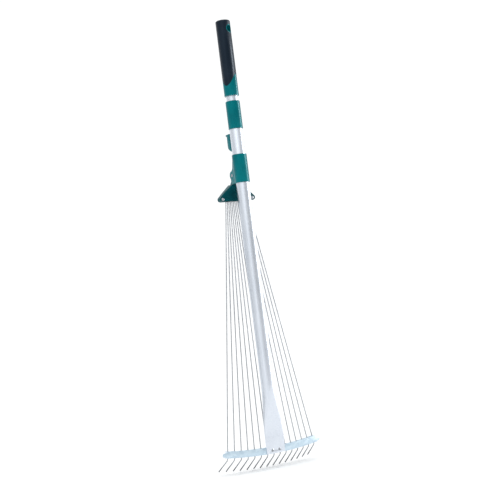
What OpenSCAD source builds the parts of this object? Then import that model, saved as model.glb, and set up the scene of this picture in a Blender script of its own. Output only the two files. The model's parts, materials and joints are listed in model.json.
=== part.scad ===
// Leaf rake with a sliding head that spreads its tines, on a telescopic handle.
// Units are millimetres. The origin is the middle of the hang hole, so the rake hangs below it.
// +Z runs up the tubes, +X to the right, and the tines are behind the tube, on +Y.
// Heights ending in _h are counted up from the tine tips, and the function z() moves them to the origin.

/* [Part shown] */
// node to draw, or all of them

/* [Tine fan] */
// height of the spreader bar's top edge above the tine tips
bar_top_h = 44.7; // [37:0.1:54]
// height from the spreader bar to the tine pivots
fan_l = 520.4; // [433:1:625]
// width between the outer tines at the bar
fan_w = 204; // [170:1:245]
// width between the outer tines at their pivots
pivot_w = 48; // [44:0.5:58]
// tine wire diameter
wire_d = 2.2; // [1.8:0.1:2.4]
// length of the straight part of a bent tip
tip_l = 41.6; // [34:0.2:50]
// angle of the bent tips
tip_bend = 58.3; // [49:0.5:70]
// radius of the bend in the wire
bend_r = 8; // [6.5:0.1:9.6]
// distance from the bar's top edge down to the corner of the bend
bend_drop = 17.5; // [16:0.5:21]
// length of the hook that a tine pivots on
hook_l = 5.4; // [4.5:0.1:6.5]
// clearance around that hook, in which it tips as the tine swings
hook_gap = 0.5; // [0.4:0.05:0.6]
// how far the head slides down its tube to spread the tines
head_travel = 230; // [180:1:240]

/* [Spreader bar] */
// length of the bar beyond the outer tines at each end
bar_over = 15; // [12.5:0.1:18]
// height of the bar
bar_hgt = 13.5; // [11.2:0.1:16]
// depth of the bar's flanges behind the middle tine
bar_behind = 4.4; // [3.7:0.1:5.3]
// sheet thickness of the bar
bar_t = 1.2; // [1:0.1:1.5]
// clearance between the middle tine and the round part of the outer tube
tine_gap = 1.2; // [1:0.05:1.5]
// how far the bar's ends bow backwards at the outer tines
bar_bow = 8.4; // [7:0.1:10]
// how far the bar's ends rise at the outer tines
bar_rise = 5.6; // [4.6:0.1:6.8]
// distance between the two rivets
bar_rivet_gap = 16.8; // [14:0.1:20]

/* [Outer tube] */
// outside diameter of the outer tube
tube_d = 28; // [23.4:0.1:33.6]
// wall of the outer tube
tube_wall = 1.0; // [0.8:0.05:1.2]
// width of the tube's pressed end
press_w = 44.4; // [36:0.2:54]
// thickness of the tube's pressed end
press_t = 2.6; // [2.2:0.1:3.2]
// length over which the tube goes from round to flat
press_l = 108; // [90:1:130]
// length that is fully flat
flat_l = 34; // [28:1:41]
// length of outer tube that shows above the collar
tube_show_l = 53.7; // [45:0.1:66]

/* [Inner tube] */
// gap around the inner tube inside the outer one
tube_gap = 0.6; // [0.5:0.05:0.75]
// wall of the inner tube
inner_wall = 1.0; // [0.8:0.05:1.2]
// length the handle can be pulled out
handle_travel = 300; // [250:1:330]
// least overlap of the two tubes
tube_lap = 100; // [80:1:120]
// length of inner tube that shows below the grip
inner_show_l = 11; // [9:0.5:14]

/* [Grip] */
// wall of the grip's hard core around the inner tube
core_wall = 1.4; // [1.1:0.05:1.7]
// length of the grip
grip_l = 159.7; // [133:0.1:194]
// thickness of the soft rubber
rubber_t = 1.5; // [1.2:0.1:1.8]
// hang hole radius
hole_r = 8; // [6.7:0.1:9]
// hang hole centre below the top of the grip
hole_drop = 18.7; // [16:0.1:22.4]
// width of the hard rim around the hang hole
rim_w = 1.2; // [1:0.1:1.5]
// height of the rubber's lower edge above the bottom of the grip
rubber_h = 20.5; // [17:0.5:24.5]
// height of the hard tongue that rises into the rubber
tongue_h = 25; // [21:0.5:30]
// turn of the grip about its tube
grip_turn = 30; // [0:1:60]

/* [Twist lock] */
// length of the twist sleeve
sleeve_l = 58.4; // [50:0.1:70]
// wall of the twist sleeve around the outer tube
sleeve_wall = 1.1; // [0.9:0.05:1.4]

/* [Head clamp] */
// length of the collar
collar_l = 59; // [56:0.5:70]
// wall of the collar around the outer tube
collar_wall = 1.6; // [1.3:0.05:2]
// radius of the lever's pivot pin
pin_r = 2; // [1.7:0.05:2.4]
// length of the lever above its pivot
lever_l = 87; // [73:0.5:95]
// length of the lever's thumb pad
pad_l = 38; // [32:0.5:45]

/* [Tine holder] */
// height of the tine pivots above the holder's bottom edge
pivot_up = 6; // [5:0.1:7]
// height of the holder below the collar
holder_hgt = 34.4; // [33:0.1:42]
// distance from the outer tube's surface back to the tine pivots
pivot_back = 22.4; // [20:0.1:27]
// distance from the outer tines' pivots out to the holder's rivets
rivet_out = 11.6; // [9.6:0.1:14]

/* [Hidden] */
$fn = 64;
tines = 15;
half_tines = (tines - 1) / 2;
wire_r = wire_d / 2;
tube_r = tube_d / 2;
bore_r = tube_r - tube_wall;
inner_r = bore_r - tube_gap;
grip_d = 2 * (inner_r + core_wall + rubber_t);
sleeve_d = tube_d + 2 * sleeve_wall;
collar_d = tube_d + 2 * collar_wall;
pivot_y = tube_r + pivot_back;
holder_rivet_gap = pivot_w + 2 * rivet_out;
bar_l = fan_w + 2 * bar_over;
fit = 0.08;
seam = 0.15;

// heights above the tine tips
pivot_h = bar_top_h + fan_l;
holder_h = pivot_h - pivot_up;
collar_h = holder_h + holder_hgt;
collar_top_h = collar_h + collar_l;
sleeve_h = collar_top_h + tube_show_l;
sleeve_top_h = sleeve_h + sleeve_l;
tube_top_h = sleeve_top_h - 27;
grip_h = sleeve_top_h + inner_show_l;
grip_top_h = grip_h + grip_l;
hole_h = grip_top_h - hole_drop;
bar_mid_h = bar_top_h - bar_hgt / 2;
tube_end_h = bar_top_h - bar_hgt + 0.2;
flat_top_h = tube_end_h + flat_l;
round_h = flat_top_h + press_l;
inner_bottom_h = tube_top_h - tube_lap - handle_travel;

function z(h) = h - hole_h;

// one tine: j runs from -half_tines to half_tines, and p is its place across the fan
web_y = press_t / 2;
// the middle tine just clears the outer tube where that gets round, at round_share of its way up
round_share = (round_h - bar_top_h) / fan_l;
round_tine_y = tube_r + seam + tine_gap + wire_r;
tine_y = (round_tine_y - round_share * pivot_y) / (1 - round_share);
bar_depth = tine_y - web_y + bar_behind;
function p(j) = j / half_tines;
function top_pt(j) = [p(j) * pivot_w / 2, pivot_y, z(pivot_h)];
function bar_pt(j) = [
  p(j) * fan_w / 2, tine_y + bar_bow * p(j) * p(j), z(bar_top_h) + bar_rise * p(j) * p(j)
];
function out(j) = [bar_pt(j).x - top_pt(j).x, bar_pt(j).y - top_pt(j).y];
function drop(j) = top_pt(j).z - bar_pt(j).z;
function lean(j) = atan(norm(out(j)) / drop(j));
function lean_low(j) = atan(norm(out(j)) / (drop(j) - head_travel));
// lean of tine j with the head slid down by s, and the place where it then crosses height zz
function lean_at(j, s) = lean(j) + (lean_low(j) - lean(j)) * s / head_travel;
function reach(j, s, zz) = (top_pt(j).z - s - zz) * tan(lean_at(j, s)) / norm(out(j));
function cross_x(j, s, zz) = top_pt(j).x + out(j).x * reach(j, s, zz);
function cross_y(j, s, zz) = top_pt(j).y + out(j).y * reach(j, s, zz);
steps = [for (i = [0 : 10]) i * head_travel / 10];
slot_gap = 0.5;

// spreader bar: an arc in a plane tilted by bar_tilt
bar_sag = norm([bar_bow, bar_rise]);
bar_tilt = atan2(bar_rise, bar_bow);
bar_r = fan_w * fan_w / 8 / bar_sag;
bar_half_turn = asin(bar_l / 2 / bar_r);

// head clamp and holder
lever_y = tube_r + 7;
lever_z = z(collar_h) + 18.5;
ear_in = 5.6;
ear_out = 11.5;
ear_r = 9;
holder_front_y = pivot_y - 8.9;
holder_back_y = pivot_y + 4.6;
shoe_y = tube_r + 2.1;
block_y = tube_r + 13;

teal = [0.0, 0.46, 0.48];
deep_teal = [0.0, 0.30, 0.33];
silver = [0.82, 0.84, 0.87];
zinc = [0.72, 0.78, 0.84];
steel = [0.55, 0.56, 0.58];
soft_black = [0.16, 0.18, 0.22];

// ---- shapes used more than once ----

// ring about the Z axis from height h1 to h2, given from the tine tips
module ring(r_out, r_in, h1, h2) {
  translate([0, 0, z(h1)])
    difference() {
      cylinder(r = r_out, h = h2 - h1);
      translate([0, 0, -1]) cylinder(r = r_in, h = h2 - h1 + 2);
    }
}

// round bar with a rounded upper edge
module round_top(r, h1, h2, edge) {
  translate([0, 0, z(h1)])
    rotate_extrude() {
      square([r, h2 - h1 - edge]);
      square([r - edge, h2 - h1]);
      translate([r - edge, h2 - h1 - edge])
        intersection() {
          circle(r = edge);
          square(edge);
        }
    }
}

// side view in Y and Z, extruded to a width across X
module side_plate(x1, x2) {
  translate([x1, 0, 0]) rotate([90, 0, 90]) linear_extrude(x2 - x1) children();
}

// front view in X and Z, extruded from y1 to y2
module front_plate(y1, y2) {
  translate([0, y2, 0]) rotate([90, 0, 0]) linear_extrude(y2 - y1) children();
}

// pin along Y from y1 to y2
module y_pin(r, y1, y2) {
  translate([0, y1, 0]) rotate([-90, 0, 0]) cylinder(r = r, h = y2 - y1);
}

// domed rivet head at y1, standing out towards -Y when dir is -1
module rivet_head(r, hgt, y1, dir) {
  big = (r * r + hgt * hgt) / 2 / hgt;
  intersection() {
    translate([0, y1 + dir * (hgt - big), 0]) sphere(r = big);
    translate([0, dir > 0 ? y1 : y1 - hgt, 0]) rotate([-90, 0, 0]) cylinder(r = r, h = hgt);
  }
}

// ---- handle ----

// places the grip's own parts: its hang hole is on its local Y axis
module grip_place() {
  rotate([0, 0, grip_turn]) children();
}

// upper edge of the hard part, in the front view
function tongue_z(x) = z(grip_h) + rubber_h + tongue_h * (1 - pow(abs(x) / (grip_d / 2), 1.5));

module hard_outline() {
  xs = [for (i = [-16 : 16]) i * grip_d / 32];
  polygon(concat(
    [[grip_d / 2 + 1, z(grip_h) + rubber_h], [grip_d / 2 + 1, z(grip_h) - 1]],
    [[-grip_d / 2 - 1, z(grip_h) - 1], [-grip_d / 2 - 1, z(grip_h) + rubber_h]],
    [for (x = xs) [x, tongue_z(x)]]
  ));
}

module grip_shape() {
  difference() {
    round_top(grip_d / 2, grip_h, grip_top_h, 3.2);
    translate([0, 0, z(grip_h) - 1]) cylinder(r = inner_r, h = hole_h - hole_r - 8 - grip_h + 1);
  }
}

module grip_core() {
  color(teal)
    grip_place()
      difference() {
        union() {
          difference() {
            round_top(grip_d / 2 - rubber_t, grip_h, grip_top_h - rubber_t, 1.7);
            translate([0, 0, z(grip_h) - 1])
              cylinder(r = inner_r, h = hole_h - hole_r - 8 - grip_h + 1);
          }
          intersection() {
            grip_shape();
            front_plate(-grip_d, grip_d) hard_outline();
          }
          intersection() {
            grip_shape();
            y_pin(hole_r + rim_w, -grip_d, grip_d);
          }
        }
        y_pin(hole_r, -grip_d, grip_d);
      }
}

module grip_rubber() {
  color(soft_black)
    grip_place()
      difference() {
        round_top(grip_d / 2, grip_h, grip_top_h, 3.2);
        round_top(grip_d / 2 - rubber_t, grip_h - 1, grip_top_h - rubber_t, 1.7);
        front_plate(-grip_d, grip_d) hard_outline();
        y_pin(hole_r + rim_w, -grip_d, grip_d);
      }
}

module inner_tube() {
  color(silver)
    ring(inner_r, inner_r - inner_wall, inner_bottom_h, hole_h - hole_r - 8);
}

// plug that closes the inner tube and guides it in the outer one
module guide_plug() {
  color(soft_black)
    difference() {
      union() {
        translate([0, 0, z(inner_bottom_h) - 14]) cylinder(r = bore_r - 0.07, h = 14);
        translate([0, 0, z(inner_bottom_h)]) cylinder(r = inner_r - inner_wall, h = 18);
      }
      translate([0, 0, z(inner_bottom_h) - 15]) cylinder(r = bore_r - 4.5, h = 30);
    }
}

// ---- twist lock ----

// split ring that sits in the top of the outer tube and grips the inner one
module lock_collet() {
  color(soft_black)
    difference() {
      translate([0, 0, z(tube_top_h)])
        rotate_extrude()
          polygon([
            [inner_r + 0.05, -20], [bore_r - 0.02, -20], [bore_r - 0.02, 0], [tube_r - 0.02, 0],
            [tube_r - 0.02, 6], [tube_r - 0.8, 22], [inner_r + 0.05, 22]
          ]);
      for (a = [0 : 60 : 120])
        rotate([0, 0, a])
          translate([-tube_r - 1, -0.6, z(tube_top_h) + 7]) cube([tube_d + 2, 1.2, 20]);
    }
}

module lock_sleeve() {
  color(teal)
    difference() {
      round_top(sleeve_d / 2, sleeve_h, sleeve_top_h, 2);
      translate([0, 0, z(sleeve_h) - 1])
        cylinder(r = tube_r + fit, h = tube_top_h - sleeve_h + 7.3);
      translate([0, 0, z(tube_top_h) + 6])
        cylinder(r1 = tube_r + 0.3, r2 = tube_r - 0.5, h = 16.4);
      translate([0, 0, z(tube_top_h)]) cylinder(r = inner_r + 0.35, h = 40);
    }
}

// ---- outer tube and spreader ----

// the pressed end: stadium sections whose outline keeps its length while it goes flat
function ease(t) = t * t * (3 - 2 * t);
function end_r(t, rr, tt) = rr + (tt / 2 - rr) * ease(t);
function end_w(t, rr, tt, ww) = (ww - tt) / 2 * (rr - end_r(t, rr, tt)) / (rr - tt / 2);
function section(t, h, rr, tt, ww, n) = [
  for (i = [0 : n - 1])
    let (a = 360 * (i + 0.5) / n)
      [end_r(t, rr, tt) * cos(a) + sign(cos(a)) * end_w(t, rr, tt, ww), end_r(t, rr, tt) * sin(a), h]
];

// heights from the end of the loft up: its end, then the rings from flat to round, then the top
function loft_h(k, m, h_end, h_flat, h_round, h_top) =
  k == 0 ? h_end : k > m + 1 ? h_top : h_flat + (h_round - h_flat) * (k - 1) / m;
function loft_t(k, m) = k == 0 ? 1 : k > m + 1 ? 0 : 1 - (k - 1) / m;

module pressed_loft(rr, tt, ww, h_end, h_flat, h_round, h_top) {
  n = 48;
  m = 18;
  last = m + 2;
  pts = [
    for (k = [0 : last])
      let (r_ring = k == last ? rr - seam : rr + seam)
        each section(loft_t(k, m), z(loft_h(k, m, h_end, h_flat, h_round, h_top)), r_ring, tt, ww, n)
  ];
  sides = [
    for (k = [0 : last - 1], i = [0 : n - 1])
      each [
        [k * n + i, (k + 1) * n + (i + 1) % n, k * n + (i + 1) % n],
        [k * n + i, (k + 1) * n + i, (k + 1) * n + (i + 1) % n]
      ]
  ];
  polyhedron(
    points = pts,
    faces = concat(sides, [[for (i = [0 : n - 1]) i]], [[for (i = [0 : n - 1]) last * n + n - 1 - i]])
  );
}

// each loft is a hair wider than the round tube where they meet, and slants in to cross its surface
module outer_tube() {
  color(silver)
    difference() {
      union() {
        translate([0, 0, z(round_h)]) cylinder(r = tube_r, h = tube_top_h - round_h);
        pressed_loft(tube_r, press_t, press_w, tube_end_h, flat_top_h, round_h, round_h + 5);
      }
      translate([0, 0, z(round_h)]) cylinder(r = bore_r, h = tube_top_h - round_h + 1);
      pressed_loft(
        bore_r, 0.6, press_w - 2 * tube_wall, flat_top_h + 1, flat_top_h + 2, round_h, round_h + 5
      );
      for (s = [-1, 1]) {
        translate([s * bar_rivet_gap / 2, 0, z(bar_mid_h) + 0.7]) y_pin(2.05, -5, 5);
        translate([s * press_w / 2, 0, z(tube_end_h)]) rotate([0, 45, 0]) cube([3, 10, 3], center = true);
      }
    }
}

// a point of the bar's section, turned into the plane that the bar is bent in
function bar_at(y, zz) = [
  bar_r - y * cos(bar_tilt) - zz * sin(bar_tilt),
  zz * cos(bar_tilt) - y * sin(bar_tilt)
];

module bar_section() {
  u = bar_hgt / 2;
  polygon([
    bar_at(0, -u), bar_at(bar_depth, -u), bar_at(bar_depth, bar_t - u), bar_at(bar_t, bar_t - u),
    bar_at(bar_t, u - bar_t), bar_at(bar_depth, u - bar_t), bar_at(bar_depth, u), bar_at(0, u)
  ]);
}

// slot for tine j through the flange at height zz, wide enough for the head's whole travel
module tine_slot(j, zz, back) {
  xs = [for (s = steps) cross_x(j, s, zz)];
  ys = [for (s = steps) cross_y(j, s, zz)];
  edge = wire_r + slot_gap;
  translate([min(xs) - edge, min(ys) - edge, zz - 3])
    cube([max(xs) - min(xs) + 2 * edge, max(ys) - min(ys) + 2 * edge + back, 6]);
}

// front view of one pointed end, from its lower edge to its upper edge
function bar_end(s, mid, end) = [
  [s * (bar_l / 2 - 26), mid - 40], [s * (bar_l / 2 - 8), end - bar_hgt / 2],
  [s * bar_l / 2, end - 4], [s * bar_l / 2, end + 1.6],
  [s * (bar_l / 2 - 16), end + bar_hgt / 2], [s * (bar_l / 2 - 40), mid + 40]
];

module bar_outline() {
  mid = z(bar_mid_h);
  end = mid + bar_sag * pow(bar_l / fan_w, 2) * sin(bar_tilt);
  left = bar_end(-1, mid, end);
  polygon(concat(bar_end(1, mid, end), [for (i = [5 : -1 : 0]) left[i]]));
}

module spreader() {
  color(zinc)
    difference() {
      intersection() {
        translate([0, web_y + bar_r * cos(bar_tilt), z(bar_mid_h) + bar_r * sin(bar_tilt)])
          rotate([bar_tilt, 0, 0])
            rotate([0, 0, -90 - bar_half_turn])
              rotate_extrude(angle = 2 * bar_half_turn, $fn = 180) bar_section();
        front_plate(-5, 60) bar_outline();
      }
      for (j = [-half_tines : half_tines]) {
        tine_slot(j, bar_pt(j).z - bar_t / 2, 0);
        tine_slot(j, bar_pt(j).z - bar_hgt + bar_t / 2, 1.1);
      }
      for (s = [-1, 1])
        translate([s * bar_rivet_gap / 2, 0, z(bar_mid_h) + 0.7]) y_pin(2.05, -5, 5);
    }
}

module spreader_rivets() {
  tail_r = 2.6;
  // the bar's web bows back a little across the rivet's tail
  tail_y = web_y + bar_t + bar_bow * pow((bar_rivet_gap / 2 + tail_r) / (fan_w / 2), 2) + 0.02;
  color(steel)
    for (s = [-1, 1])
      translate([s * bar_rivet_gap / 2, 0, z(bar_mid_h) + 0.7]) {
        y_pin(2, -web_y, tail_y);
        rivet_head(3.1, 1.3, -web_y, -1);
        y_pin(tail_r, tail_y, tail_y + 0.8);
      }
}

// ---- head clamp ----

module collar() {
  color(teal)
    difference() {
      union() {
        round_top(collar_d / 2, collar_h, collar_top_h, 1);
        for (s = [0, 1])
          mirror([s, 0, 0])
            side_plate(ear_in, ear_out) {
              translate([lever_y, lever_z]) circle(r = ear_r);
              polygon([
                [5, z(collar_h)], [block_y, z(collar_h)], [block_y, z(collar_h) + 9.5],
                [lever_y + 5, lever_z], [lever_y, lever_z + ear_r], [tube_r + 2, lever_z + ear_r + 5],
                [tube_r - 3, z(collar_top_h) - 6], [5, z(collar_top_h) - 6]
              ]);
            }
        side_plate(-ear_in - 1, ear_in + 1)
          translate([5, z(collar_h)]) square([block_y - 5, 8]);
      }
      translate([0, 0, z(collar_h) - 1]) cylinder(r = tube_r + fit, h = collar_l + 2);
      translate([-4.4, 5, lever_z - 6.5]) cube([8.8, 20, 13]);
      translate([-20, lever_y, lever_z]) rotate([0, 90, 0]) cylinder(r = pin_r, h = 40);
      translate([0, 0, z(collar_h) + 4.2]) y_pin(1.6, block_y - 10, block_y + 1);
    }
}

// shoe that the cam presses on the tube
module brake_shoe() {
  color(soft_black)
    difference() {
      translate([-4.2, 8, lever_z - 6.3]) cube([8.4, shoe_y - 8, 12.6]);
      translate([0, 0, lever_z - 10]) cylinder(r = tube_r + 0.06, h = 20);
    }
}

// side view: cam, thin neck, then the thumb pad with its rounded foot and its top plate
module lever_side() {
  top_z = lever_z + lever_l;
  pad_foot = top_z - pad_l;
  foot_r = 13;
  translate([lever_y - 0.8, lever_z]) circle(r = 4.05);
  polygon([
    [tube_r + 2.8, lever_z], [lever_y + 3.2, lever_z], [tube_r + 8, lever_z + 12],
    [tube_r + 5.4, lever_z + 24], [tube_r + 5.4, pad_foot + 6], [tube_r + 2.2, pad_foot + 6]
  ]);
  intersection() {
    translate([tube_r + 1.2, pad_foot + foot_r]) circle(r = foot_r, $fn = 96);
    translate([tube_r + 1.2, pad_foot]) square([foot_r + 1, foot_r + 1]);
  }
  polygon([
    [tube_r + 1.2, pad_foot + foot_r], [tube_r + 1.2 + foot_r, pad_foot + foot_r],
    [tube_r + 12.4, top_z - 1], [tube_r + 1.2, top_z - 1]
  ]);
  translate([tube_r + 1.2, top_z - 3.6]) square([15.2, 3.6]);
}

module lever_front() {
  top_z = lever_z + lever_l;
  pad_foot = top_z - pad_l;
  polygon([
    [-5, lever_z - 8], [5, lever_z - 8], [5, pad_foot + 1], [8.4, pad_foot + 8], [9.2, top_z],
    [-9.2, top_z], [-8.4, pad_foot + 8], [-5, pad_foot + 1]
  ]);
}

module cam_lever() {
  color(teal)
    difference() {
      intersection() {
        side_plate(-12, 12) lever_side();
        front_plate(0, 60) lever_front();
      }
      translate([-20, lever_y, lever_z]) rotate([0, 90, 0]) cylinder(r = pin_r + 0.06, h = 40);
    }
}

module lever_pin() {
  color(steel)
    translate([0, lever_y, lever_z])
      rotate([0, 0, 90]) {
        y_pin(pin_r, -ear_out, ear_out);
        rivet_head(pin_r + 1.4, 1.6, -ear_out, -1);
        rivet_head(pin_r + 1.4, 1.6, ear_out, 1);
      }
}

// ---- tine holder ----

function holder_side(s, b) =
  let (lobe_r = 5.8, lobe_x = holder_rivet_gap / 2 + 0.2)
    concat(
      [for (a = [-90 : 6 : 60]) [s * (lobe_x + lobe_r * cos(a)), b + lobe_r + lobe_r * sin(a)]],
      [[s * (lobe_x - 7.5), b + 21], [s * 14, b + holder_hgt]]
    );

module holder_outline() {
  left = holder_side(-1, z(holder_h));
  last = len(left) - 1;
  polygon(concat(holder_side(1, z(holder_h)), [for (i = [last : -1 : 0]) left[i]]));
}

// pocket for the tine heads and the slit that the wires leave by
module tine_pocket() {
  half = pivot_w / 2 + wire_r + 2.2;
  // the wires lean forwards most when the head is at its lowest
  front = wire_r + pivot_up * (pivot_y - tine_y) / (fan_l - head_travel) + 0.35;
  back = wire_r + 0.45;
  translate([-half, pivot_y - front, z(holder_h) - 1])
    cube([2 * half, front + back, pivot_up + 1 + wire_r + 1.1]);
}

module rivet_holes(r) {
  for (s = [-1, 1])
    translate([s * holder_rivet_gap / 2, 0, z(holder_h) + 5]) y_pin(r, 0, 80);
}

module holder_front() {
  b = z(holder_h);
  color(deep_teal)
    difference() {
      intersection() {
        side_plate(-60, 60)
          polygon([
            [tube_r + 4, b + holder_hgt], [holder_front_y, b + 17], [holder_front_y, b + 1.5],
            [holder_front_y + 1.5, b], [pivot_y, b], [pivot_y, b + holder_hgt]
          ]);
        front_plate(0, 80) holder_outline();
      }
      tine_pocket();
      rivet_holes(2.05);
      for (j = [-half_tines : half_tines])
        translate([top_pt(j).x, 0, z(pivot_h)])
          y_pin(wire_r + hook_gap, pivot_y - hook_l - hook_gap, pivot_y);
    }
}

module holder_back() {
  b = z(holder_h);
  t = b + holder_hgt;
  color(deep_teal)
    difference() {
      union() {
        intersection() {
          side_plate(-60, 60)
            polygon([
              [pivot_y, b], [holder_back_y - 1.5, b], [holder_back_y, b + 1.5],
              [holder_back_y, b + 16], [pivot_y + 2, t], [pivot_y, t]
            ]);
          front_plate(0, 80) holder_outline();
        }
        side_plate(-9, 9)
          polygon([
            [pivot_y, t - 6], [pivot_y + 4, t - 6], [pivot_y + 1.5, t], [block_y + 3.5, t + 8],
            [block_y, t + 8], [block_y, t], [pivot_y, t]
          ]);
      }
      tine_pocket();
      rivet_holes(2.05);
      translate([0, 0, t + 4.2]) y_pin(1.9, block_y - 1, block_y + 20);
      translate([0, 0, t + 4.2]) y_pin(3.6, block_y + 2.5, block_y + 20);
    }
}

module holder_rivets() {
  color(steel)
    for (s = [-1, 1])
      translate([s * holder_rivet_gap / 2, 0, z(holder_h) + 5]) {
        y_pin(2, holder_front_y, holder_back_y);
        rivet_head(3.4, 1.6, holder_front_y, -1);
        rivet_head(3.4, 1.6, holder_back_y, 1);
      }
}

module holder_screw() {
  color(steel)
    translate([0, 0, z(collar_h) + 4.2])
      difference() {
        union() {
          y_pin(1.55, block_y - 9, block_y + 2.5);
          y_pin(3.2, block_y + 2.5, block_y + 4.4);
        }
        translate([-0.5, block_y + 3.5, -2]) cube([1, 2, 4]);
        translate([-2, block_y + 3.5, -0.5]) cube([4, 2, 1]);
      }
}

// ---- tines ----

// tine number n: hook, long straight run through the bar, then a bent tip
module tine(n) {
  j = n - 1 - half_tines;
  top = top_pt(j);
  run = bar_pt(j) - top;
  way = run / norm(run);
  turn_x = asin(way.y);
  turn_y = atan2(-way.x, -way.z);
  cut = bend_r * tan(tip_bend / 2);
  straight = norm(run) + bend_drop - cut;
  over = 0.3;
  color(steel) {
    translate(top) {
      rotate([90, 0, 0]) cylinder(r = wire_r, h = hook_l, $fn = 24);
      sphere(r = wire_r + 0.04, $fn = 24);
      rotate([turn_x, turn_y, 0]) {
        translate([0, 0, -straight]) cylinder(r = wire_r, h = straight, $fn = 24);
        translate([0, bend_r, -straight])
          rotate([0, 90, 0])
            rotate([0, 0, -90 - over])
              rotate_extrude(angle = tip_bend + 2 * over, $fn = 96)
                translate([bend_r, 0]) circle(r = wire_r + 0.01, $fn = 24);
        translate([0, bend_r, -straight])
          rotate([tip_bend, 0, 0])
            translate([0, -bend_r, -tip_l]) cylinder(r = wire_r, h = tip_l, $fn = 24);
      }
    }
  }
}

module tine_01() { tine(1); }
module tine_02() { tine(2); }
module tine_03() { tine(3); }
module tine_04() { tine(4); }
module tine_05() { tine(5); }
module tine_06() { tine(6); }
module tine_07() { tine(7); }
module tine_08() { tine(8); }
module tine_09() { tine(9); }
module tine_10() { tine(10); }
module tine_11() { tine(11); }
module tine_12() { tine(12); }
module tine_13() { tine(13); }
module tine_14() { tine(14); }
module tine_15() { tine(15); }

grip_core();
grip_rubber();
inner_tube();
guide_plug();
lock_collet();
lock_sleeve();
outer_tube();
spreader();
spreader_rivets();
collar();
brake_shoe();
cam_lever();
lever_pin();
holder_front();
holder_back();
holder_rivets();
holder_screw();
tine_01();
tine_02();
tine_03();
tine_04();
tine_05();
tine_06();
tine_07();
tine_08();
tine_09();
tine_10();
tine_11();
tine_12();
tine_13();
tine_14();
tine_15();
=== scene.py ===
# %% [markdown]
# # A leaf rake with a sliding head
# This lesson builds the rake around its CAD frame. The frame gives every piece its place, and the
# lesson gives each one its finish, and a better shape where the plain solid is too sharp.
# Lengths are in metres, Z runs up the tubes, X to the right, and the tines hang behind the tube on Y.

# %% Load the frame
import bpy
import json
import math
from mathutils import Matrix, Vector


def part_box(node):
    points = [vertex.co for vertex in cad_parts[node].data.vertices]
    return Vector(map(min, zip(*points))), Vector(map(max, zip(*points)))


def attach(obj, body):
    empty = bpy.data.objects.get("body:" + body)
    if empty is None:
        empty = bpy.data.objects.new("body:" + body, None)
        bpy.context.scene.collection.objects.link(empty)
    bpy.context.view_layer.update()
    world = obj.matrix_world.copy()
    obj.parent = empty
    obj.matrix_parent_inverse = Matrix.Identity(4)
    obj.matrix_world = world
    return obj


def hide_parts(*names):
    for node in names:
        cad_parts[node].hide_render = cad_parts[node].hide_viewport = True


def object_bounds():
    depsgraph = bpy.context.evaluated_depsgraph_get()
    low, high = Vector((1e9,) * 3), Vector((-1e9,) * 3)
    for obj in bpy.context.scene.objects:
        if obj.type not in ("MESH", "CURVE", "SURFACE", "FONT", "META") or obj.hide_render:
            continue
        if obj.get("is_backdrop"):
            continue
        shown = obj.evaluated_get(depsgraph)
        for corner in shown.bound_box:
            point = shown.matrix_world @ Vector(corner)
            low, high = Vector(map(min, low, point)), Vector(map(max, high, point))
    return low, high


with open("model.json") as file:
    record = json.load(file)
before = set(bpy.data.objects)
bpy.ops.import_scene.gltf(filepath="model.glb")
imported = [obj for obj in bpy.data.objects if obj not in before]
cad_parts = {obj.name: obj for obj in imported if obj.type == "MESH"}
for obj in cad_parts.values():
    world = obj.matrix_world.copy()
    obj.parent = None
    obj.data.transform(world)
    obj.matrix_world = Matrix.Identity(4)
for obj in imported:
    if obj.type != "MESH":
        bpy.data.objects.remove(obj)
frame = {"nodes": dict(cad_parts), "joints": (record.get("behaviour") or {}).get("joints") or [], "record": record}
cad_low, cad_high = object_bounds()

MM = 0.001

# %% [markdown]
# ## Camera
# The rake leans a little to the left and is seen from its left front, at the height of its lower
# half. A long lens keeps its tubes nearly parallel. The camera's matrix is made from three angles,
# which is easier to correct than a matrix of numbers.

# %% Camera
AROUND, UPWARD, ROLL = math.radians(30), math.radians(2.87), math.radians(7.11)
AIM = Vector((-0.0018, 0.0010, -0.4643))
STAND_OFF = 2.5
FOCAL_LENGTH, SENSOR_WIDTH, SEES_TO = 86.9, 36, 50

forward = Vector((
    math.sin(AROUND) * math.cos(UPWARD), math.cos(AROUND) * math.cos(UPWARD), math.sin(UPWARD)
))
level_right = Vector((math.cos(AROUND), -math.sin(AROUND), 0))
level_up = level_right.cross(forward)
right = level_right * math.cos(ROLL) - level_up * math.sin(ROLL)
up = level_right * math.sin(ROLL) + level_up * math.cos(ROLL)

lens = bpy.data.cameras.new("long_lens")
lens.lens, lens.sensor_width, lens.clip_end = FOCAL_LENGTH, SENSOR_WIDTH, SEES_TO
camera = bpy.data.objects.new("long_lens", lens)
bpy.context.scene.collection.objects.link(camera)
camera.matrix_world = Matrix((
    (right.x, up.x, -forward.x, 0),
    (right.y, up.y, -forward.y, 0),
    (right.z, up.z, -forward.z, 0),
    (0, 0, 0, 1),
))
camera.location = AIM - forward * STAND_OFF
bpy.context.scene.camera = camera
print("camera stands at", [round(v, 3) for v in camera.location])

# %% [markdown]
# ## Floor and light
# A bright tent of soft light surrounds the rake. It is dimmer in front, so that the round pieces get a
# darker middle between light edges. A wide soft sun gives the whole floor one even tone and draws the
# faint shadow under the tips. One tall soft box on the right adds the long highlight on the grip and
# the collar. It lights gloss only, because on the floor it would make a bright patch. The floor goes
# down with the outer tube, so that the rake stays above it when its handle is drawn out. It does not
# follow the head, so the tine ends pass below it when the head slides down.

# %% Floor
def deselect():
    """Nothing stays selected, because an operator acts on all that is."""
    if bpy.context.mode != "OBJECT":
        bpy.ops.object.mode_set(mode="OBJECT")
    bpy.ops.object.select_all(action="DESELECT")


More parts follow.
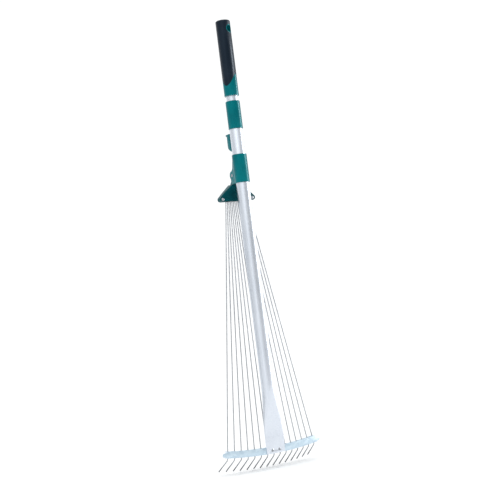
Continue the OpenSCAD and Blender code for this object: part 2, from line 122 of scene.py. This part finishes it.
deselect()
floor_z = cad_low.z
FLOOR_SIZE, FLOOR_GAP = 400, 0.0004
bpy.ops.mesh.primitive_plane_add(size=FLOOR_SIZE, location=(0, 0, floor_z - FLOOR_GAP))
floor = bpy.context.object
floor.name = "studio_floor"
BODY_OF = {
    node: body for body, nodes in frame["record"]["behaviour"]["bodies"].items() for node in nodes
}
FOOT = BODY_OF["outer_tube"]
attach(floor, FOOT)
floor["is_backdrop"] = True
print("floor at", round(floor_z, 4))

# %% Light
def soft_box(name, place, aim, width, height, power):
    """An area light at a place, turned towards the point it lights."""
    lamp = bpy.data.lights.new(name, "AREA")
    lamp.shape, lamp.size, lamp.size_y = "RECTANGLE", width, height
    lamp.energy = power
    holder = bpy.data.objects.new(name, lamp)
    bpy.context.scene.collection.objects.link(holder)
    holder.location = place
    holder.rotation_euler = (aim - place).to_track_quat("-Z", "Y").to_euler()
    return holder


middle = Vector((0, 0, -0.45))
SIDE_ANGLE, SIDE_RISE, SIDE_REACH = math.radians(72), 0.06, 1.9
BOX_WIDTH, BOX_HEIGHT, BOX_POWER = 0.40, 1.9, 30
side = Vector((math.sin(SIDE_ANGLE), -math.cos(SIDE_ANGLE), SIDE_RISE)) * SIDE_REACH
right_box = soft_box("right_soft_box", middle + side, middle, BOX_WIDTH, BOX_HEIGHT, BOX_POWER)
right_box.visible_diffuse = False

SUN_STRENGTH, SUN_SPREAD = 0.72, math.radians(70)
SUN_TIP, SUN_LEAN = math.radians(28), math.radians(-14)
sun = bpy.data.lights.new("wide_sun", "SUN")
sun.energy, sun.angle = SUN_STRENGTH, SUN_SPREAD
sun_holder = bpy.data.objects.new("wide_sun", sun)
sun_holder.rotation_euler = (SUN_TIP, SUN_LEAN, 0)
bpy.context.scene.collection.objects.link(sun_holder)

# %% [markdown]
# ## The light tent
# The tent is the world itself: one pale background whose strength drops in two directions. A studio
# would hang grey cards there. Turning the lamps down would do less, because a round metal tube shows
# what stands around it, and only a darker stretch of tent gives it a darker stripe.

# %% The light tent

world = bpy.data.worlds.new("light_tent")
bpy.context.scene.world = world
world.use_nodes = True
tent = world.node_tree
tent.nodes.clear()
facing = tent.nodes.new("ShaderNodeTexCoord")


def dim_zone(towards, start, depth):
    """A part of the tent that loses depth of its light, from start (a cosine) to its middle."""
    along = tent.nodes.new("ShaderNodeVectorMath")
    along.operation = "DOT_PRODUCT"
    along.inputs[1].default_value = towards
    tent.links.new(facing.outputs["Generated"], along.inputs[0])
    fall = tent.nodes.new("ShaderNodeMapRange")
    fall.interpolation_type = "SMOOTHSTEP"
    fall.inputs["From Min"].default_value = start
    fall.inputs["To Max"].default_value = depth
    tent.links.new(along.outputs["Value"], fall.inputs["Value"])
    return fall.outputs["Result"]


def less(first, second):
    """One light value less another."""
    node = tent.nodes.new("ShaderNodeMath")
    node.operation = "SUBTRACT"
    for socket, value in zip(node.inputs, (first, second)):
        if isinstance(value, float):
            socket.default_value = value
        else:
            tent.links.new(value, socket)
    return node.outputs[0]


FRONT, LEFT_BACK, ZONE_START = (0.22, -0.97, 0.0), (-0.93, 0.37, 0.0), 0.45
FRONT_LOSS, LEFT_LOSS = 0.66, 0.34
TENT_STRENGTH, TENT_COLOUR = 1.06, (0.985, 0.995, 1.0, 1)
front_zone = dim_zone(FRONT, ZONE_START, FRONT_LOSS)
left_zone = dim_zone(LEFT_BACK, ZONE_START, LEFT_LOSS)
sky = tent.nodes.new("ShaderNodeBackground")
sky.inputs["Color"].default_value = TENT_COLOUR
tent.links.new(less(less(TENT_STRENGTH, front_zone), left_zone), sky.inputs["Strength"])
tent_out = tent.nodes.new("ShaderNodeOutputWorld")
tent.links.new(sky.outputs["Background"], tent_out.inputs["Surface"])
bpy.context.scene.view_settings.view_transform = "Standard"
print("tent strength", TENT_STRENGTH, "less", FRONT_LOSS, "in front and", LEFT_LOSS, "at the left back")

# %% [markdown]
# ## A small language for finishes
# Shader maths reads best as plain arithmetic. The class below wraps a socket, and each operator adds
# one Math node. A finish is made by one function that starts a material and gives back a helper for
# any other node.

# %% Sockets that do arithmetic
class Reading:
    """A value that a node puts out, with the arithmetic that a finish needs."""

    def __init__(self, finish, socket):
        self.finish, self.socket = finish, socket

    def sum_node(self, operation, *values):
        node = self.finish.tree.nodes.new("ShaderNodeMath")
        node.operation = operation
        for socket, value in zip(node.inputs, values):
            self.finish.feed(socket, value)
        return Reading(self.finish, node.outputs[0])

    def __add__(self, other):
        return self.sum_node("ADD", self, other)

    def __sub__(self, other):
        return self.sum_node("SUBTRACT", self, other)

    def __rsub__(self, other):
        return self.sum_node("SUBTRACT", other, self)

    def __mul__(self, other):
        return self.sum_node("MULTIPLY", self, other)

    __radd__, __rmul__ = __add__, __mul__


class Finish:
    """A material with one Principled shader, and a method that adds any node."""

    def __init__(self, name):
        self.material = bpy.data.materials.new(name)
        self.material.use_nodes = True
        self.tree = self.material.node_tree
        self.tree.nodes.clear()
        self.shader = self.tree.nodes.new("ShaderNodeBsdfPrincipled")
        out = self.tree.nodes.new("ShaderNodeOutputMaterial")
        self.tree.links.new(self.shader.outputs[0], out.inputs["Surface"])

    def feed(self, socket, value):
        if isinstance(value, Reading):
            self.tree.links.new(value.socket, socket)
        else:
            socket.default_value = value

    def node(self, kind, settings=None, inputs=None, out=0):
        """Adds a node: its settings first, then the values or links of its sockets."""
        node = self.tree.nodes.new(kind)
        for name, value in (settings or {}).items():
            setattr(node, name, value)
        for name, value in (inputs or {}).items():
            self.feed(node.inputs[name], value)
        return Reading(self, node.outputs[out])

    def place(self, stretch=(1, 1, 1)):
        """Object coordinates, stretched along an axis for drawn or brushed lines."""
        spot = self.node("ShaderNodeTexCoord", out="Object")
        return self.node("ShaderNodeMapping", inputs={"Vector": spot, "Scale": stretch})

    def noise(self, scale, detail=2.0, stretch=(1, 1, 1), rough=0.5):
        return self.node("ShaderNodeTexNoise", inputs={
            "Vector": self.place(stretch), "Scale": scale, "Detail": detail, "Roughness": rough
        }, out="Fac")

    def band(self, value, low, high, to_low=0.0, to_high=1.0):
        """A value spread from low..high to to_low..to_high, and held there."""
        return self.node("ShaderNodeMapRange", {"interpolation_type": "SMOOTHSTEP"}, {
            "Value": value, "From Min": low, "From Max": high, "To Min": to_low, "To Max": to_high
        })

    def blend(self, share, first, second):
        """Two colours mixed by a share."""
        node = self.tree.nodes.new("ShaderNodeMix")
        node.data_type = "RGBA"
        self.feed(node.inputs[0], share)
        for index, colour in ((6, first), (7, second)):
            self.feed(node.inputs[index], colour if isinstance(colour, Reading) else (*colour, 1))
        return Reading(self, node.outputs[2])

    def bump(self, height, strength, distance):
        return self.node("ShaderNodeBump", inputs={
            "Height": height, "Strength": strength, "Distance": distance
        })

    def coat(self, **sockets):
        """Sets the shader's own sockets, by their names with _ for a space."""
        for name, value in sockets.items():
            self.feed(self.shader.inputs[name.replace("_", " ")], value)


print("finish helper ready")

# %% [markdown]
# ## Moulded plastics
# The collar, the sleeve and the grip's core are one satin teal plastic, and the tine holder is a darker
# and flatter one. Moulded plastic is never quite even: the tone drifts a little, the skin has a fine
# grain, and handling leaves faint scuffs, which show in the roughness before they show in the colour.

# %% Plastics
PLAIN, TEAL_GLOSS = (1, 1, 1), (0.15, 0.86, 0.95)


def moulded_plastic(name, deep, light, smooth, rough, grain_depth, shine, tint=PLAIN):
    """Colours deep and light, roughness from smooth to rough, and a tinted gloss."""
    finish = Finish(name)
    finish.coat(Specular_IOR_Level=shine, Specular_Tint=(*tint, 1))
    drift = finish.noise(26, 3)
    grain = finish.noise(1500, 3)
    scuffs = finish.band(finish.noise(90, 6, (6, 6, 0.5), 0.65), 0.56, 0.72)
    tone = finish.blend(finish.band(drift, 0.3, 0.7), deep, light)
    paler = tuple(c * 1.3 + 0.004 for c in light)
    finish.coat(
        Base_Color=finish.blend(scuffs * 0.35, tone, paler),
        Roughness=finish.band(drift + grain * 0.35 + scuffs * 0.5, 0.3, 1.2, smooth, rough),
        Normal=finish.bump(grain + scuffs * 0.3, 0.35, grain_depth),
    )
    return finish.material


teal = moulded_plastic(
    "teal_plastic", (0.0, 0.108, 0.128), (0.0, 0.142, 0.162), 0.20, 0.34, 0.00006, 0.40, TEAL_GLOSS
)
dark_teal = moulded_plastic(
    "dark_teal_plastic", (0.0, 0.046, 0.058), (0.0, 0.070, 0.084), 0.34, 0.50, 0.00012, 0.22, TEAL_GLOSS
)
black = moulded_plastic(
    "black_plastic", (0.012, 0.013, 0.014), (0.022, 0.022, 0.024), 0.42, 0.6, 0.0001, 0.3
)
print("plastics:", teal.name, dark_teal.name, black.name)

# %% [markdown]
# ## Soft rubber
# The grip's skin is a soft rubber moulded over the teal core. It has a fine leathery stipple that
# keeps it from slipping, and a bloom of dust that makes parts of it a little paler.

# %% Rubber
def soft_rubber():
    finish = Finish("soft_rubber")
    stipple = finish.node("ShaderNodeTexVoronoi", {"feature": "SMOOTH_F1"}, {
        "Vector": finish.place(), "Scale": 820.0
    }, out="Distance")
    bloom = finish.band(finish.noise(34, 5, (1, 1, 0.5)), 0.42, 0.75)
    finish.coat(
        Base_Color=finish.blend(bloom * 0.5, (0.004, 0.009, 0.017), (0.012, 0.020, 0.032)),
        Specular_IOR_Level=0.26,
        Specular_Tint=(0.62, 0.80, 1.0, 1),
        Roughness=finish.band(bloom + stipple * 0.4, 0.0, 1.2, 0.28, 0.42),
        Normal=finish.bump(stipple, 0.45, 0.00012),
    )
    return finish.material


rubber = soft_rubber()
print("rubber:", rubber.name)

# %% [markdown]
# ## Aluminium tubes
# The tubes are satin anodised aluminium. Drawing a tube leaves fine lines along its length, so the
# noise is drawn out along Z, and use leaves rubbed patches. A picture of brushed metal would need a
# seam down the tube, which object coordinates do without.

# %% Aluminium
def drawn_aluminium():
    finish = Finish("aluminium_tube")
    lines = finish.noise(240, 4, (9, 9, 0.06), 0.6)
    cloud = finish.noise(14, 3)
    rubbed = finish.band(finish.noise(70, 5, (2, 2, 0.3)), 0.60, 0.74)
    finish.coat(
        Base_Color=finish.blend(
            finish.band(lines * 0.7 + cloud * 0.3, 0.3, 0.7), (0.66, 0.71, 0.79), (0.77, 0.81, 0.87)
        ),
        Metallic=0.85,
        Roughness=finish.band(lines + cloud * 0.4 + rubbed * 0.5, 0.4, 1.4, 0.26, 0.44),
        Normal=finish.bump(lines, 0.12, 0.00008),
    )
    return finish.material


aluminium = drawn_aluminium()
print("aluminium:", aluminium.name)

# %% [markdown]
# ## Zinc sheet
# The bar is folded from zinc-plated sheet. Plating grows in flakes, each a little lighter or darker than
# the next, and rolling leaves faint lines along it. Cells of a Voronoi pattern, one tone to a cell,
# make the flakes.

# %% Zinc sheet
def zinc_plate():
    finish = Finish("zinc_sheet")
    flakes = finish.node("ShaderNodeTexVoronoi", {"feature": "F1"}, {
        "Vector": finish.place(), "Scale": 210.0
    }, out="Color")
    flake = finish.node("ShaderNodeSeparateColor", inputs={"Color": flakes})
    rolled = finish.noise(160, 3, (0.2, 4, 4))
    wear_and_painted_shade = finish.band(finish.noise(60, 5), 0.55, 0.75)
    finish.coat(
        Base_Color=finish.blend(
            finish.band(flake * 0.6 + rolled * 0.4, 0.1, 0.9), (0.53, 0.67, 0.78), (0.64, 0.77, 0.86)
        ),
        Metallic=0.45,
        Roughness=finish.band(flake * 0.5 + rolled * 0.5 + wear_and_painted_shade * 0.5, 0.1, 1.3, 0.34, 0.56),
        Normal=finish.bump(rolled + flake * 0.3, 0.15, 0.00008),
    )
    return finish.material


zinc = zinc_plate()
print("zinc:", zinc.name)

# %% [markdown]
# ## Spring wire
# The tines are galvanised spring wire, dull grey and mottled, and their tips carry painted shade: they are
# painted darker near the floor. A second material for the tips would end in a hard line, so one material fades by
# height.

# %% Spring wire
def spring_wire(tip_z, shade_ends_z):
    """Galvanised wire with painted shade, darker from the upper height down to tip_z."""
    finish = Finish("spring_wire")
    spot = finish.node("ShaderNodeTexCoord", out="Object")
    height = finish.node("ShaderNodeSeparateXYZ", inputs={"Vector": spot}, out="Z")
    mottle = finish.noise(420, 4, (1, 1, 0.35))
    # painted shade: the share of the dark colour, full at the tip and gone from the upper height up
    wear_and_painted_shade = finish.band(height + (mottle - 0.5) * 0.012, tip_z, shade_ends_z, 1.0, 0.0)
    steel = finish.blend(finish.band(mottle, 0.3, 0.7), (0.33, 0.345, 0.37), (0.46, 0.475, 0.50))
    finish.coat(
        # the dark colour at the tips is painted shade
        Base_Color=finish.blend(wear_and_painted_shade, steel, (0.11, 0.115, 0.125)),
        Metallic=0.75,
        Roughness=finish.band(mottle + wear_and_painted_shade * 0.3, 0.2, 1.2, 0.36, 0.58),
        Normal=finish.bump(mottle, 0.2, 0.00006),
    )
    return finish.material


# heights above the floor where the painted shade on the tips is full, and where it ends
FULL_SHADE_UP_TO, SHADE_ENDS_FROM = 6 * MM, 30 * MM
wire = spring_wire(floor_z + FULL_SHADE_UP_TO, floor_z + SHADE_ENDS_FROM)
print("wire:", wire.name)

# %% [markdown]
# ## Rivet steel
# The rivets, the lever's pin and the screw are plain steel. The heads are struck to shape, which leaves
# them grey and slightly uneven, so a fine noise moves both their tone and their roughness.

# %% Rivet steel
def struck_steel():
    finish = Finish("rivet_steel")
    struck = finish.noise(700, 4)
    finish.coat(
        Base_Color=finish.blend(finish.band(struck, 0.3, 0.7), (0.27, 0.29, 0.32), (0.42, 0.44, 0.47)),
        Metallic=1.0,
        Roughness=finish.band(struck, 0.3, 0.7, 0.20, 0.34),
        Normal=finish.bump(struck, 0.15, 0.00006),
    )
    return finish.material


rivet = struck_steel()
print("rivets:", rivet.name)

# %% [markdown]
# ## Floor finish
# The floor is a roll of pale studio paper. It has no gloss, so that nothing but the soft shadow shows.

# %% Floor finish
def pale_paper():
    finish = Finish("pale_floor")
    finish.coat(Base_Color=(0.97, 0.97, 0.97, 1), Roughness=0.9, Specular_IOR_Level=0.0)
    return finish.material


floor.data.materials.append(pale_paper())
print("floor finish ready")

# %% [markdown]
# ## Finishes on the frame's own pieces
# The record says which finish each solid has. Every CAD piece gets it here, and pieces that are
# modelled again below take the same one.

# %% Put the finishes on
FINISHES = {
    "teal_plastic": teal, "dark_teal_plastic": dark_teal, "soft_rubber": rubber, "black_plastic": black,
    "aluminium_tube": aluminium, "zinc_sheet": zinc, "rivet_steel": rivet, "spring_wire": wire,
}
SLOT_OF = {part["node"]: part["material_slot"] for part in frame["record"]["subparts"]}
for node, slot_name in SLOT_OF.items():
    body = frame["nodes"][node].data
    body.materials.clear()
    body.materials.append(FINISHES[slot_name])
print("finished", len(SLOT_OF), "CAD pieces")

# %% [markdown]
# ## Soft edges
# A moulded or pressed piece has no sharp edge, and light finds every rounded one. For the pieces whose
# solid is already right, the quickest true way is to take a copy of it, weld its loose triangles, join
# the flat ones, and run a Bevel over the edges that are left. Modelling them again from a primitive
# would only risk moving a hole or a seat.

# %% Taking a copy of a solid
def hand_over(piece, *nodes):
    """The piece stands for its CAD nodes: it has their finish and moves with their body."""
    slot_name = SLOT_OF[nodes[0]]
    if not piece.data.materials:
        piece.data.materials.append(FINISHES[slot_name])
    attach(piece, BODY_OF[nodes[0]])
    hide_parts(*nodes)


def make_active(piece):
    deselect()
    piece.select_set(True)
    bpy.context.view_layer.objects.active = piece


WELD_GAP, FLAT_ENOUGH = 0.000004, math.radians(0.4)
SHARP_EDGE, SMOOTH_BELOW, EDGE_STEPS = math.radians(32), math.radians(36), 2


def welded_copy(node, name):
    """A copy of a solid's mesh with its triangles joined."""
    piece = bpy.data.objects.new(name, frame["nodes"][node].data.copy())
    bpy.context.scene.collection.objects.link(piece)
    make_active(piece)
    bpy.ops.object.mode_set(mode="EDIT")
    bpy.ops.mesh.select_all(action="SELECT")
    bpy.ops.mesh.remove_doubles(threshold=WELD_GAP)
    bpy.ops.mesh.dissolve_limited(angle_limit=FLAT_ENOUGH)
    bpy.ops.object.mode_set(mode="OBJECT")
    return piece


def soften(piece, width):
    """Rounds every sharp edge, then shades the rest smooth."""
    bevel = piece.modifiers.new("soft_edges", "BEVEL")
    bevel.width, bevel.segments = width, EDGE_STEPS
    bevel.limit_method, bevel.angle_limit = "ANGLE", SHARP_EDGE
    bevel.harden_normals = False
    make_active(piece)
    bpy.ops.object.modifier_apply(modifier=bevel.name)
    bpy.ops.object.shade_smooth_by_angle(angle=SMOOTH_BELOW)


# %% Soft edges on the moulded, pressed and riveted pieces
# Widths are in millimetres.
EDGE_WIDTHS = {
    "grip_core": 0.3, "grip_rubber": 0.45, "lock_sleeve": 0.3, "collar": 0.5, "cam_lever": 0.9,
    "holder_front": 0.7, "holder_back": 0.7, "spreader": 0.3, "outer_tube": 0.2, "inner_tube": 0.2,
    "spreader_rivets": 0.5, "holder_rivets": 0.5, "lever_pin": 0.4, "holder_screw": 0.4,
}
for node, width in EDGE_WIDTHS.items():
    piece = welded_copy(node, node + "_finished")
    before = len(piece.data.polygons)
    soften(piece, width * MM)
    hand_over(piece, node)
    print(piece.name, before, "->", len(piece.data.polygons), "faces")

# %% [markdown]
# ## Spring tines
# Each tine is one length of hard round wire. Its upper end is hooked into the holder, it runs straight
# down through the bar, and its lower end is bent back to a tip that the ground wears round. A wire
# could be a curve with a round profile, but its bends are made here as a bending jig makes them: a ring
# of points is pushed along a straight and spun round each bend, so every bend has its true radius.
# The straight is a little longer towards the ends of the bar, so each tine is bent for its own place.

# %% The tine fan
HALF_TINES = 7
WIRE_R, WIRE_SIDES = 1.1 * MM, 16
HOOK_L, HOOK_BEND_R, HOOK_STEPS = 5.4 * MM, 1.5 * MM, 6
BEND_R, TIP_BEND, BEND_STEPS = 8 * MM, math.radians(58.3), 9
TIP_L, BEND_DROP, STRAIGHT_STEPS = 41.6 * MM, 17.5 * MM, 4
# the tip's worn end: how far each ring goes on, in millimetres, and how much it narrows
WORN_RINGS = ((0.45, 0.86), (0.3, 0.76), (0.15, 0.5))
WORN_L = 0.9 * MM
RING_WELD, WIRE_SMOOTH = 0.00001, math.radians(40)
HINGES = {joint["child"]: joint for joint in frame["joints"]}
BAR_TOP_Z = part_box("tine_08")[0].z + 44.7 * MM
BAR_ROOM, BAR_BOW, BAR_RISE = 102 * MM, 8.4 * MM, 5.6 * MM
MIDDLE_TINE_Y = 9.895 * MM


def tine_ends(number):
    """Where a tine hangs in the holder and where it passes the top of the bar."""
    share = (number - 1 - HALF_TINES) / HALF_TINES
    hinge = Vector(HINGES[f"tine_{number:02d}"]["pos_m"])
    at_bar = Vector((
        share * BAR_ROOM, MIDDLE_TINE_Y + BAR_BOW * share ** 2, BAR_TOP_Z + BAR_RISE * share ** 2
    ))
    return hinge, at_bar


print("outer tine:", [[round(v, 4) for v in end] for end in tine_ends(1)])

# %% Bending one tine
def push(way, size=1.0, about=None):
    """Draws the chosen ring out along a way, and narrows it about a point."""
    bpy.ops.mesh.extrude_region_move(TRANSFORM_OT_translate={"value": way})
    if about is not None:
        bpy.ops.transform.resize(value=(size, size, size), center_override=about)


def bend_tine(number):
    """One tine, bent at the origin with its hook on Y, then leaned and moved to its hinge."""
    hinge, at_bar = tine_ends(number)
    run = at_bar - hinge
    straight = run.length + BEND_DROP - BEND_R * math.tan(TIP_BEND / 2)
    deselect()
    bpy.ops.mesh.primitive_circle_add(
        vertices=WIRE_SIDES, radius=WIRE_R, fill_type="NGON",
        location=(0, -HOOK_L, 0), rotation=(math.pi / 2, 0, 0)
    )
    piece = bpy.context.object
    piece.name = f"tine_{number:02d}_wire"
    bpy.ops.object.transform_apply(location=True, rotation=True)
    bpy.ops.object.mode_set(mode="EDIT")
    bpy.ops.mesh.select_all(action="SELECT")
    push((0, HOOK_L - HOOK_BEND_R, 0))
    # the spin operator turns clockwise about its axis, so the axes point the other way
    bpy.ops.mesh.spin(
        steps=HOOK_STEPS, angle=math.pi / 2, center=(0, -HOOK_BEND_R, -HOOK_BEND_R), axis=(1, 0, 0)
    )
    for _ in range(STRAIGHT_STEPS):
        push((0, 0, -(straight - HOOK_BEND_R) / STRAIGHT_STEPS))
    bpy.ops.mesh.spin(
        steps=BEND_STEPS, angle=TIP_BEND, center=(0, BEND_R, -straight), axis=(-1, 0, 0)
    )
    tip_way = Vector((0, math.sin(TIP_BEND), -math.cos(TIP_BEND)))
    bend_end = Vector((
        0, BEND_R - BEND_R * math.cos(TIP_BEND), -straight - BEND_R * math.sin(TIP_BEND)
    ))
    push(tip_way * (TIP_L - WORN_L))
    for reach, size in WORN_RINGS:
        bend_end = bend_end + tip_way * reach * MM
        push(tip_way * reach * MM, size, bend_end + tip_way * (TIP_L - WORN_L))
    bpy.ops.mesh.select_all(action="SELECT")
    bpy.ops.mesh.remove_doubles(threshold=RING_WELD)
    bpy.ops.mesh.delete_loose()
    bpy.ops.mesh.select_all(action="SELECT")
    bpy.ops.mesh.normals_make_consistent(inside=False)
    bpy.ops.object.mode_set(mode="OBJECT")
    way = run.normalized()
    sideways, backwards = math.atan2(-way.x, -way.z), math.asin(way.y)
    lean = Matrix.Rotation(sideways, 4, "Y") @ Matrix.Rotation(backwards, 4, "X")
    piece.matrix_world = Matrix.Translation(hinge) @ lean
    bpy.ops.object.transform_apply(location=True, rotation=True)
    bpy.ops.object.shade_smooth_by_angle(angle=WIRE_SMOOTH)
    return piece


# %% Bend and hang all fifteen
for number in range(1, 2 * HALF_TINES + 2):
    tine = bend_tine(number)
    hand_over(tine, f"tine_{number:02d}")
    made, meant = tine.data.vertices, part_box(f"tine_{number:02d}")
    low = Vector(min(v.co[i] for v in made) for i in range(3))
    high = Vector(max(v.co[i] for v in made) for i in range(3))
    print(tine.name, len(tine.data.polygons), "faces, off by",
          round(1000 * max((low - meant[0]).length, (high - meant[1]).length), 2), "mm")

# %% [markdown]
# ## Sizes
# The box of the frame and the box of the finished model are kept side by side, to see that nothing
# grew.

# %% Sizes
now_low, now_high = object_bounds()
past_high, past_low = now_high - cad_high, cad_low - now_low
print("grew by", [round(v, 5) for v in past_high], [round(v, 5) for v in past_low])
